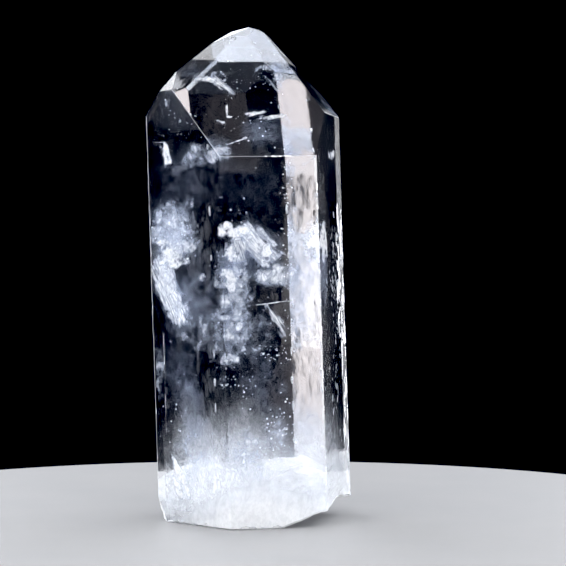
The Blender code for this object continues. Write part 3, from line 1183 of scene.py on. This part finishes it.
# By zone, a row for each veil: its name, centre, size, cover, density, finish, roll, tip, turn, bend, number
# of sheets and seed.
VEILS = {
    "crown_veils": (
        ("crown_plates", (-1.75, -12.35, 36.98), (5.04, 2.52), CLOUD, 1.0, "sugar", -4, -1, 7, 20, 1, 1),
        ("crown_left", (-2.15, -12.45, 34.5), (1.88, 3.38), CLOUD, 1.0, "sugar", 0, 0, 7, 20, 1, 2),
        ("crown_heart", (-1.15, -11.53, 34.77), (3.25, 4.12), CLOUD, 0.95, "feather", 20, -1, 7, 25, 1, 3),
        ("arch", (1.02, -10.39, 35.53), (3.9, 7.5), STREAK, 1.0, "feather", 42, -1, 6, 30, 2, 4),
        ("arch_foot", (2.18, -10.48, 34.29), (2.38, 2.38), CLOUD, 1.0, "sugar", 31, 0, 6, 10, 1, 5),
        ("arch_halo", (1.81, -9.35, 35.54), (5.36, 5.01), ARC, 0.55, "gauze", -12, -1, 6, 25, 1, 6),
        ("crown_mist", (-1.63, -11.79, 33.15), (5.2, 4.4), GAUZE, 0.9, "gauze", 0, 0, 7, 15, 2, 7),
    ),
    "column_veils": (
        ("column", (-1.86, -11.99, 29.06), (5.52, 10.32), GAUZE, 0.72, "wisp", -3, 0, 7, 25, 2, 8),
        ("column_top", (-1.77, -11.64, 31.54), (4.5, 3.75), CLOUD, 0.9, "wisp", 0, 0, 7, 15, 1, 9),
        ("tooth", (-2.35, -12.63, 30.92), (2.6, 4.16), CLOUD, 1.0, "sugar", 43, 0, 7, 0, 1, 10),
        ("wing", (2.87, -8.47, 31.54), (6.0, 3.62), CLOUD, 1.0, "wisp", -10, 0, 6, 25, 2, 11),
        ("wing_tooth", (1.68, -9.42, 31.29), (1.0, 1.47), CLOUD, 1.0, "sugar", 10, 0, 6, 0, 1, 12),
        ("thread", (2.02, -7.72, 27.96), (6.22, 0.21), CLOUD, 0.9, "sugar", 7, 1, 6, 0, 1, 13),
        ("fan", (3.12, -8.44, 25.9), (2.29, 5.46), FAN, 0.75, "feather", 35, 1, 6, 25, 1, 14),
    ),
    "lower_veils": (
        ("lower_cloud", (-0.9, -10.43, 24.07), (8.88, 6.48), CLOUD, 0.5, "wisp", 0, 1, 7, 30, 2, 15),
        ("lower_lump", (-2.32, -12.47, 24.98), (2.08, 4.68), CLOUD, 0.9, "wisp", 0, 1, 7, 10, 1, 16),
        ("lower_lump_right", (-1.18, -11.32, 25.08), (1.6, 1.57), CLOUD, 0.9, "sugar", 0, 1, 7, 10, 1, 17),
        ("low_spot", (-1.99, -12.0, 21.01), (3.15, 2.48), CLOUD, 0.9, "wisp", 0, 2, 7, 10, 2, 18),
        ("low_dash", (-2.72, -12.67, 20.92), (0.3, 0.29), CLOUD, 1.0, "sugar", 2, 1, -16, 0, 1, 19),
        ("centre_breath", (1.05, -6.04, 17.66), (8.5, 10.5), GAUZE, 0.5, "gauze", 0, 2, 6, 20, 1, 23),
    ),
    "root_veils": (
        ("root_block", (-0.66, -11.52, 9.58), (5.57, 7.18), GAUZE, 0.62, "wisp", 0, 4, 7, 15, 2, 20),
        ("root_speckle", (3.46, -8.07, 11.58), (4.62, 7.77), CLOUD, 0.4, "wisp", 0, 3, 6, 25, 2, 21),
        ("root_speckle_foot", (4.16, -8.71, 8.86), (3.34, 1.75), CLOUD, 0.4, "wisp", 0, 4, 6, 10, 1, 22),
        ("left_root_mist", (-6.08, -7.24, 9.22), (8.04, 9.74), GAUZE, 0.34, "wisp", 15, 3, -16, 20, 2, 36),
        ("root_shard", (-8.41, -6.36, 6.04), (1.38, 7.07), STREAK, 1.0, "sugar", 30, 3, -16, 10, 1, 38),
        ("root_shard_low", (-8.66, -5.35, 4.43), (1.55, 4.13), CLOUD, 1.0, "sugar", 25, 4, -16, 10, 1, 39),
        ("strip_frost", (-11.49, -4.34, 19.14), (2.01, 8.98), GAUZE, 0.6, "wisp", 0, 1, -15, 0, 1, 37),
        ("left_drift", (-7.03, -6.04, 15.98), (6.25, 15.3), STREAK, 0.4, "gauze", 25, 2, -16, 20, 2, 35),
    ),
    "left_veils": (
        ("left_cloud", (-9.25, -3.83, 37.88), (9.43, 7.82), CLOUD, 0.62, "wisp", 0, -2, -15, 30, 3, 25),
        ("left_cloud_low", (-8.39, -5.57, 35.66), (8.74, 4.6), CLOUD, 0.7, "wisp", -10, -1, -16, 20, 2, 26),
        ("left_heart", (-9.49, -5.2, 34.39), (5.46, 4.81), CLOUD, 1.0, "sugar", 18, -1, -15, 20, 1, 27),
        ("left_heart_spot", (-7.35, -7.24, 33.6), (0.7, 0.6), CLOUD, 0.8, "sugar", 37, -1, -16, 0, 1, 28),
        ("slanting_veil", (-9.83, -4.98, 29.54), (4.4, 11.0), STREAK, 1.0, "feather", 28, 0, -15, 30, 2, 29),
        ("slanting_heart", (-9.66, -5.64, 29.92), (2.8, 8.0), CLOUD, 1.0, "wisp", 30, 0, -15, 20, 1, 30),
        ("slanting_end", (-8.46, -6.69, 26.5), (2.52, 3.37), FAN, 0.95, "feather", 18, 0, -16, 10, 1, 31),
        ("blue_patch", (-5.5, -8.95, 31.32), (1.28, 1.38), CLOUD, 1.0, "wisp", 0, -1, -16, 0, 1, 32),
        ("left_mist", (-6.04, -4.19, 28.43), (10.0, 13.0), GAUZE, 0.5, "gauze", 0, 0, -16, 30, 2, 33),
        ("left_mist_low", (-5.79, -6.76, 24.64), (8.5, 8.0), CLOUD, 0.45, "wisp", 0, 0, -16, 30, 1, 34),
    ),
    "shoulder_veils": (
        ("centre_veil_high", (0.17, -6.07, 42.27), (8.5, 9.0), GAUZE, 0.24, "gauze", 0, -2, 6, 20, 1, 24),
        ("brow", (-5.78, -1.92, 56.0), (3.41, 1.26), CLOUD, 1.0, "sugar", -5, 12, 7, 20, 1, 40),
        ("brow_fibres", (-3.89, -1.68, 55.13), (1.64, 4.82), STREAK, 0.9, "feather", 48, 12, 6, 20, 1, 41),
        ("brow_hair", (-4.46, 0.62, 56.12), (2.45, 1.92), ARC, 0.6, "feather", -16, 12, 6, 20, 1, 42),
        ("shoulder_lines", (1.54, 3.69, 56.54), (3.98, 3.12), ARC, 0.7, "feather", -16, 12, 5, 20, 1, 43),
        ("shoulder_fall", (2.34, 2.61, 54.98), (0.75, 3.91), STREAK, 0.6, "feather", 38, 12, 5, 0, 1, 44),
        ("squiggle", (-3.09, -5.05, 51.64), (0.39, 2.38), CLOUD, 1.0, "sugar", 3, 12, 6, 0, 1, 45),
        ("squiggle_foot", (-2.69, -5.62, 50.83), (1.04, 0.55), CLOUD, 1.0, "sugar", -8, 12, 6, 0, 1, 46),
        ("flake_pair", (-3.97, -6.14, 50.03), (1.54, 0.79), CLOUD, 0.7, "sugar", 0, 12, 6, 0, 1, 47),
        ("spark_streak", (0.59, -4.24, 51.46), (3.69, 0.88), CLOUD, 1.0, "sugar", 17, 12, 6, 10, 1, 48),
        ("bright_streak", (2.67, -4.51, 51.04), (4.95, 0.99), CLOUD, 1.0, "sugar", 11, 12, 5, 10, 1, 49),
        ("blue_haze", (1.38, -6.17, 48.88), (6.52, 4.67), GAUZE, 0.6, "gauze", 10, 12, 5, 20, 2, 50),
        ("haze_line", (-1.51, -8.97, 47.81), (4.04, 0.36), CLOUD, 0.9, "wisp", 25, 13, 6, 0, 1, 51),
        ("haze_flake", (-0.65, -8.4, 48.23), (1.08, 0.45), CLOUD, 0.9, "sugar", 25, 13, 6, 0, 1, 52),
        ("rhomb_left_mist", (-8.49, -2.85, 57.43), (5.2, 4.5), GAUZE, 0.55, "gauze", 34, 11, 7, 10, 1, 60),
    ),
    "junction_veils": (
        ("junction", (-3.96, -11.85, 46.67), (3.84, 4.56), CLOUD, 0.62, "wisp", 0, 13, 6, 10, 2, 53),
        ("junction_left", (-6.27, -8.68, 46.64), (5.04, 3.36), CLOUD, 0.55, "wisp", 10, -3, -16, 10, 2, 54),
        ("left_shard", (-10.2, -5.15, 47.02), (1.67, 3.28), STREAK, 1.0, "sugar", 18, -3, -15, 0, 1, 55),
        ("left_spot", (-8.14, -6.53, 51.22), (0.82, 1.14), CLOUD, 0.8, "wisp", 0, -4, -16, 0, 1, 56),
        ("left_bubbles", (-9.89, -4.91, 53.41), (0.99, 1.78), CLOUD, 0.6, "wisp", 0, -4, -15, 0, 1, 57),
        ("left_high_mist", (-7.08, -4.87, 43.7), (10.5, 10.0), GAUZE, 0.4, "gauze", 0, -3, -16, 20, 1, 58),
        ("left_line", (-10.79, -4.86, 48.52), (4.32, 0.2), CLOUD, 0.8, "wisp", 0, -3, -15, 0, 1, 59),
    ),
    "right_face_veils": (
        ("right_face_patch", (8.78, -6.16, 35.61), (7.54, 5.98), CLOUD, 1.0, "sugar", -26, 0, 37, 10, 1, 61),
        ("right_face_mist", (8.5, -7.17, 31.16), (5.77, 8.16), STREAK, 0.75, "gauze", -14, 1, 37, 10, 2, 62),
        ("right_face_spot", (10.08, -0.12, 47.24), (4.25, 1.58), CLOUD, 0.8, "sugar", 0, -2, 37, 0, 1, 63),
    ),
}


@dataclass(frozen=True)
class SpeckAndGlintSwarm:
    """A swarm of tiny white flecks inside the crystal, partly crushed specks and partly painted glints.

    centre and spread are in millimetres, spread across, into and up the swarm; turn swings it about the
    upright axis in degrees, size is the flecks' least and most length and upright how much longer they
    stand than they are wide.
    """

    name: str
    centre: tuple
    spread: tuple
    turn: float
    count: int
    size: tuple
    upright: float = 1.0


@dataclass
class SpecksAndGlints:
    """All the white flecks inside the crystal, partly crushed specks and partly painted glints, as one piece.

    inset is how far inside the faces they stay, scatter how widely they stray in their swarm, rare how much
    rarer the long ones are, and pattern_size the size of the one that all are copied from.
    """

    inset: float = 0.12
    scatter: float = 0.3
    rare: float = 2.2
    pattern_size: float = 0.1
    swarms: tuple = (
        SpeckAndGlintSwarm("band_side_upper", (4.51, -9.33, 42.19), (1.79, 2.0, 8.76), 6, 34, (0.12, 0.26)),
        SpeckAndGlintSwarm("band_side_lower", (4.89, -9.35, 28.42), (1.54, 2.0, 11.27), 6, 40, (0.12, 0.3)),
        SpeckAndGlintSwarm("low_bright_glint_specks", (2.42, -9.19, 21.78), (5.63, 4.0, 1.75), 6, 46, (0.12, 0.28)),
        SpeckAndGlintSwarm("low_centre_glint_specks", (-1.25, -10.79, 17.49), (4.56, 4.0, 3.73), 7, 40, (0.12, 0.3)),
        SpeckAndGlintSwarm("root_glint_specks", (3.67, -8.93, 11.88), (3.84, 4.0, 7.75), 6, 70, (0.12, 0.3)),
        SpeckAndGlintSwarm("left_low_glint_specks", (-8.86, -5.17, 13.09), (5.62, 2.4, 7.66), -16, 16, (0.12, 0.26)),
        SpeckAndGlintSwarm("brow_glint_specks", (-2.65, -0.81, 55.23), (5.28, 4.0, 4.23), 6, 30, (0.11, 0.24)),
        SpeckAndGlintSwarm("shoulder_glint_specks", (1.9, 1.96, 55.74), (3.48, 4.0, 4.94), 5, 22, (0.11, 0.24)),
        SpeckAndGlintSwarm("high_glint_specks", (0.11, -6.07, 49.39), (7.24, 4.0, 6.29), 6, 24, (0.11, 0.26)),
        SpeckAndGlintSwarm("left_high_glint_specks", (-8.15, -6.48, 49.96), (7.2, 3.0, 10.11), -16, 22, (0.11, 0.24)),
        SpeckAndGlintSwarm("crown_glint_specks", (-1.37, -11.79, 36.5), (4.3, 1.6, 7.93), 7, 34, (0.12, 0.32)),
        SpeckAndGlintSwarm("arch_glint_specks", (3.89, -9.58, 34.67), (2.05, 2.4, 4.25), 6, 20, (0.12, 0.3)),
        SpeckAndGlintSwarm("left_cloud_glint_specks", (-9.25, -5.0, 36.05), (6.28, 2.4, 6.38), -15, 26, (0.12, 0.32)),
        SpeckAndGlintSwarm("edge_glint_specks", (-3.58, -12.39, 24.73), (0.47, 0.2, 40.88), -16, 44, (0.09, 0.2), 1.3),
        SpeckAndGlintSwarm("centre_glint_specks", (-0.23, -8.34, 29.66), (7.67, 6.0, 15.04), 6, 40, (0.09, 0.2)),
        SpeckAndGlintSwarm("left_middle_glint_specks", (-6.04, -5.41, 28.43), (8.14, 6.0, 20.33), -16, 40, (0.09, 0.2)),
        SpeckAndGlintSwarm("right_strip", (10.86, -0.85, 30.6), (6.0, 0.35, 15.0), 76, 190, (0.25, 1.1), 3.2),
        SpeckAndGlintSwarm("right_strip_low", (11.06, -1.6, 14.5), (6.0, 0.35, 13.0), 76, 60, (0.25, 1.2), 3.6),
    )

    def build(self, crystal: CrystalBody, finishes: dict) -> Piece:
        """Build the flecks.

        Args:
            crystal: the crystal that they stay inside.
            finishes: the materials by name.

        Returns:
            The finished piece.
        """
        rng = random.Random(7)
        planes = list(crystal.planes().values())
        pattern = added(bpy.ops.mesh.primitive_circle_add, "specks_and_glints", vertices=5, radius=0.5, fill_type="NGON")
        pieces = [pattern]
        for swarm in self.swarms:
            swing = Matrix.Rotation(math.radians(swarm.turn), 3, "Z")
            sway = 0.6 if swarm.upright < 2.0 else 0.18
            for _ in range(swarm.count):
                offset = Vector([rng.gauss(0.0, self.scatter) * reach for reach in swarm.spread])
                place = Vector(swarm.centre) + swing @ offset
                if max(normal.dot(place - point) for normal, point in planes) > -self.inset:
                    continue
                speck_and_glint = bpy.data.objects.new("speck_and_glint", pattern.data.copy())
                bpy.context.scene.collection.objects.link(speck_and_glint)
                length = swarm.size[0] + (swarm.size[1] - swarm.size[0]) * rng.random() ** self.rare
                shape = Matrix.Diagonal((length / swarm.upright, length, length, 1.0))
                lean = Matrix.Rotation(rng.gauss(0.0, sway), 4, "Y")
                facing = Matrix.Rotation(math.radians(90.0 + rng.gauss(0.0, 35.0)), 4, "X")
                spin = Matrix.Rotation(rng.gauss(0.0, 0.6), 4, "Z")
                speck_and_glint.matrix_world = (
                    Matrix.Translation(place * MM) @ Matrix.Scale(MM, 4) @ spin @ lean @ facing @ shape
                )
                pieces.append(speck_and_glint)
        pattern.scale = [MM * self.pattern_size] * 3
        pattern.location = Vector(self.swarms[0].centre) * MM
        specks_and_glints = merge_into_first(pieces)
        settle(specks_and_glints)
        # The flecks' white is partly painted glints: they are bright from every side, where a real sparkle
        # shows at one angle only.
        specks_and_glints.data.materials.append(finishes["speck_and_glint"])
        return specks_and_glints


@dataclass(frozen=True)
class Softbox:
    """A soft rectangular studio light, placed by its direction from the crystal and aimed at it.

    heading is in degrees from straight behind the crystal, going round by the right, and lift is degrees
    above level. Distance, width, height and aim, the height that it points at, are in millimetres.
    """

    name: str
    heading: float
    lift: float
    distance: float
    width: float
    height: float
    radiance: float
    colour: str = "#ffffff"
    aim: float = 30.0

    def build(self) -> Piece:
        """Make the light.

        Returns:
            The light, in its place.
        """
        light = bpy.data.lights.new(self.name, "AREA")
        light.shape = "RECTANGLE"
        light.size = self.width * MM
        light.size_y = self.height * MM
        light.energy = self.radiance * math.pi * light.size * light.size_y
        light.color = linear(self.colour)[:3]
        thing = bpy.data.objects.new(self.name, light)
        bpy.context.scene.collection.objects.link(thing)
        heading = math.radians(self.heading)
        lift = math.radians(self.lift)
        level = math.cos(lift)
        away = Vector((math.sin(heading) * level, math.cos(heading) * level, math.sin(lift)))
        thing.location = Vector((0.0, 0.0, self.aim * MM)) + away * self.distance * MM
        thing.rotation_euler = (-away).to_track_quat("-Z", "Y").to_euler()
        thing.visible_camera = False
        return thing


@dataclass
class Studio:
    """The plinth, the camera, the lights and the dark surroundings."""

    plinth_radius: float = 68.0
    plinth_back: float = 7.0
    plinth_thickness: float = 8.0
    plinth_edge: float = 1.2
    eye: tuple = (4.298, -235.281, 30.55)
    lens: float = 114.5
    sensor: float = 36.0
    room: tuple = (0.004, 0.005, 0.008, 1.0)
    black_level: tuple = (0.012, 0.012, 0.010)
    white_level: tuple = (0.90, 0.90, 0.90)
    softboxes: tuple = (
        Softbox("left_fill", -106.0, 3.0, 700.0, 360.0, 460.0, 0.9),
        Softbox("front_right_fill", 127.0, -10.0, 700.0, 556.0, 566.0, 0.86, "#fff6f5"),
        Softbox("front_right_strip", 127.0, 0.8, 690.0, 543.0, 62.0, 0.55),
        Softbox("high_left", -142.0, 46.0, 460.0, 480.0, 400.0, 5.4),
        Softbox("high_right", 142.0, 46.0, 460.0, 480.0, 400.0, 4.8),
        Softbox("high_back_left", -55.0, 34.0, 460.0, 560.0, 300.0, 7.0, "#f8faff"),
        Softbox("high_back_right", 58.0, 34.0, 460.0, 560.0, 300.0, 7.0, "#f8faff"),
        Softbox("low_right", 75.0, 10.0, 460.0, 400.0, 220.0, 6.0, "#f8faff"),
        Softbox("low_left", -70.0, 8.0, 460.0, 180.0, 180.0, 6.0, "#f8faff"),
    )

    def build_plinth(self, finish: Finish) -> Piece:
        """Make the round plinth that the crystal stands on.

        Args:
            finish: its material.

        Returns:
            The plinth.
        """
        plinth = added(
            bpy.ops.mesh.primitive_cylinder_add,
            "plinth",
            vertices=160,
            radius=self.plinth_radius * MM,
            depth=self.plinth_thickness * MM,
            location=(0.0, self.plinth_back * MM, -self.plinth_thickness / 2.0 * MM),
        )
        settle(plinth)
        rim = {"width": self.plinth_edge * MM, "segments": 4, "angle_limit": math.radians(60.0)}
        apply_modifier(plinth, "BEVEL", limit_method="ANGLE", **rim)
        plinth.data.materials.append(finish)
        bpy.ops.object.shade_smooth_by_angle(angle=math.radians(30.0))
        return plinth

    def build_camera(self) -> None:
        """Set up the level camera at the photograph's angle."""
        camera = bpy.data.cameras.new("camera")
        camera.lens = self.lens
        camera.sensor_width = self.sensor
        camera.clip_start = 10.0 * MM
        thing = bpy.data.objects.new("camera", camera)
        bpy.context.scene.collection.objects.link(thing)
        thing.location = Vector(self.eye) * MM
        thing.rotation_euler = (math.radians(90.0), 0.0, 0.0)
        bpy.context.scene.camera = thing

    def build_light(self) -> None:
        """Hang the softboxes in a dark room."""
        for softbox in self.softboxes:
            softbox.build()
        world = bpy.data.worlds.new("dark_room")
        world.use_nodes = True
        world.node_tree.nodes["Background"].inputs["Color"].default_value = self.room
        scene = bpy.context.scene
        scene.world = world
        scene.cycles.max_bounces = 32
        scene.cycles.transmission_bounces = 28
        scene.cycles.transparent_max_bounces = 64
        scene.cycles.diffuse_bounces = 3
        scene.view_settings.view_transform = "Standard"
        scene.view_settings.use_curve_mapping = True
        mapping = scene.view_settings.curve_mapping
        mapping.black_level = self.black_level
        mapping.white_level = self.white_level
        mapping.update()


def make_finishes() -> dict:
    """Make all the materials.

    Returns:
        The materials by the names that the classes know them by.
    """
    recipes = {
        "clear": ClearQuartz(),
        "cap": ClearQuartz("dulled_rock_crystal", clearness=0.84, etched=0.3),
        # On the fine edges the white spots are partly real bruising and partly a painted highlight line along
        # the edges.
        "edge": CrushedQuartz(
            "bruised_edge_and_painted_highlight", crushed_mm=0.5, whole=0.54, crushed=0.66, clearest=1.0, whitest=0.45,
            roughness=0.1, relief_mm=0.02,
        ),
        "worn": CrushedQuartz(
            "worn_quartz_edge", crushed_mm=0.6, whole=0.40, crushed=0.62, clearest=0.92, whitest=0.30,
            roughness=0.3, relief_mm=0.03,
        ),
        # In the chips the white is partly real bruising and partly painted glints.
        "chip": CrushedQuartz(
            "chipped_quartz_and_painted_glints", crushed_mm=0.22, whole=0.36, crushed=0.54, clearest=0.95, whitest=0.05,
            roughness=0.15, relief_mm=0.02,
        ),
        "tip": CrushedQuartz(
            "rubbed_quartz_tip", crushed_mm=1.1, whole=0.30, crushed=0.62, clearest=0.50, whitest=0.18,
            roughness=0.42, relief_mm=0.03,
        ),
        "break": FrostedBreak(),
        "stone": PaleStone(),
        "wisp": HealedVeil("wispy_healed_veil"),
        "sugar": HealedVeil(
            "dense_healed_veil", patch_mm=0.9, gain=1.25, contrast=2.0, soft=0.8, fibre_mm=(0.4, 0.5),
            fibrous=0.45, most=1.0, haze=0.15, thin="#c0cde6",
        ),
        "feather": HealedVeil(
            "feathered_healed_veil", patch_mm=1.2, gain=1.1, contrast=2.0, soft=0.9, fibre_mm=(0.2, 1.8),
            fibrous=0.8, most=1.0, haze=0.12,
        ),
        "gauze": HealedVeil(
            "misty_healed_veil", patch_mm=2.2, contrast=2.4, soft=1.5, fibre_mm=(0.6, 1.2), fibrous=0.5,
            most=0.42, haze=0.09, thin="#acbbd9", dense="#f2f4fb",
        ),
        # White specks, partly crushed quartz and partly painted glints.
        "speck_and_glint": SpeckAndPaintedGlint(),
        "milk_heart": MilkyGrowth(
            "milky_quartz_heart", low=2.5, high=8.8, slant=0.45, heart=1.0, patch_mm=2.2, waver_mm=2.2,
            shift=(0.0, 0.0, 0.0), mottle=0.12, mottle_mm=(0.5, 0.4), crest_mm=0.8, skew=0.1,
        ),
        "milk_skin": MilkyGrowth(
            "milky_quartz_skin", low=1.0, high=20.0, slant=1.25, heart=0.72, patch_mm=2.2, waver_mm=4.5,
            shift=(7.0, 3.0, 1.0), mottle=0.85, mottle_mm=(0.5, 0.5),
        ),
        "milk_middle": MilkyGrowth(
            "milky_quartz_middle", low=1.0, high=17.5, slant=1.1, heart=0.78, patch_mm=1.8, waver_mm=4.5,
            shift=(2.0, 9.0, 4.0), mottle=0.8, mottle_mm=(0.7, 0.7),
        ),
        "milk_core": MilkyGrowth(
            "milky_quartz_core", low=1.0, high=15.0, slant=0.9, heart=0.9, patch_mm=1.6, waver_mm=3.5,
            shift=(5.0, 1.0, 8.0), mottle=0.6, mottle_mm=(0.9, 0.9),
        ),
    }
    return {name: recipe.build() for name, recipe in recipes.items()}


def main() -> None:
    """Build the crystal and its setting."""
    logging.basicConfig(level=logging.INFO, format="%(message)s")
    finishes = make_finishes()
    crystal = CrystalBody()
    body = crystal.build(finishes)
    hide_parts("quartz_crystal")
    pieces = [body]
    pieces += MilkyRoot().build(crystal, finishes)
    for zone, rows in VEILS.items():
        pieces.append(merge_into_first([Veil(*row).build(crystal, finishes) for row in rows]))
        pieces[-1].name = zone
    pieces.append(SpecksAndGlints().build(crystal, finishes))
    for piece in pieces:
        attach(piece, "root")
        LOG.info("%s: %d faces", piece.name, len(piece.data.polygons))
    studio = Studio()
    studio.build_plinth(finishes["stone"])
    studio.build_camera()
    studio.build_light()


if __name__ == "__main__":
    main()
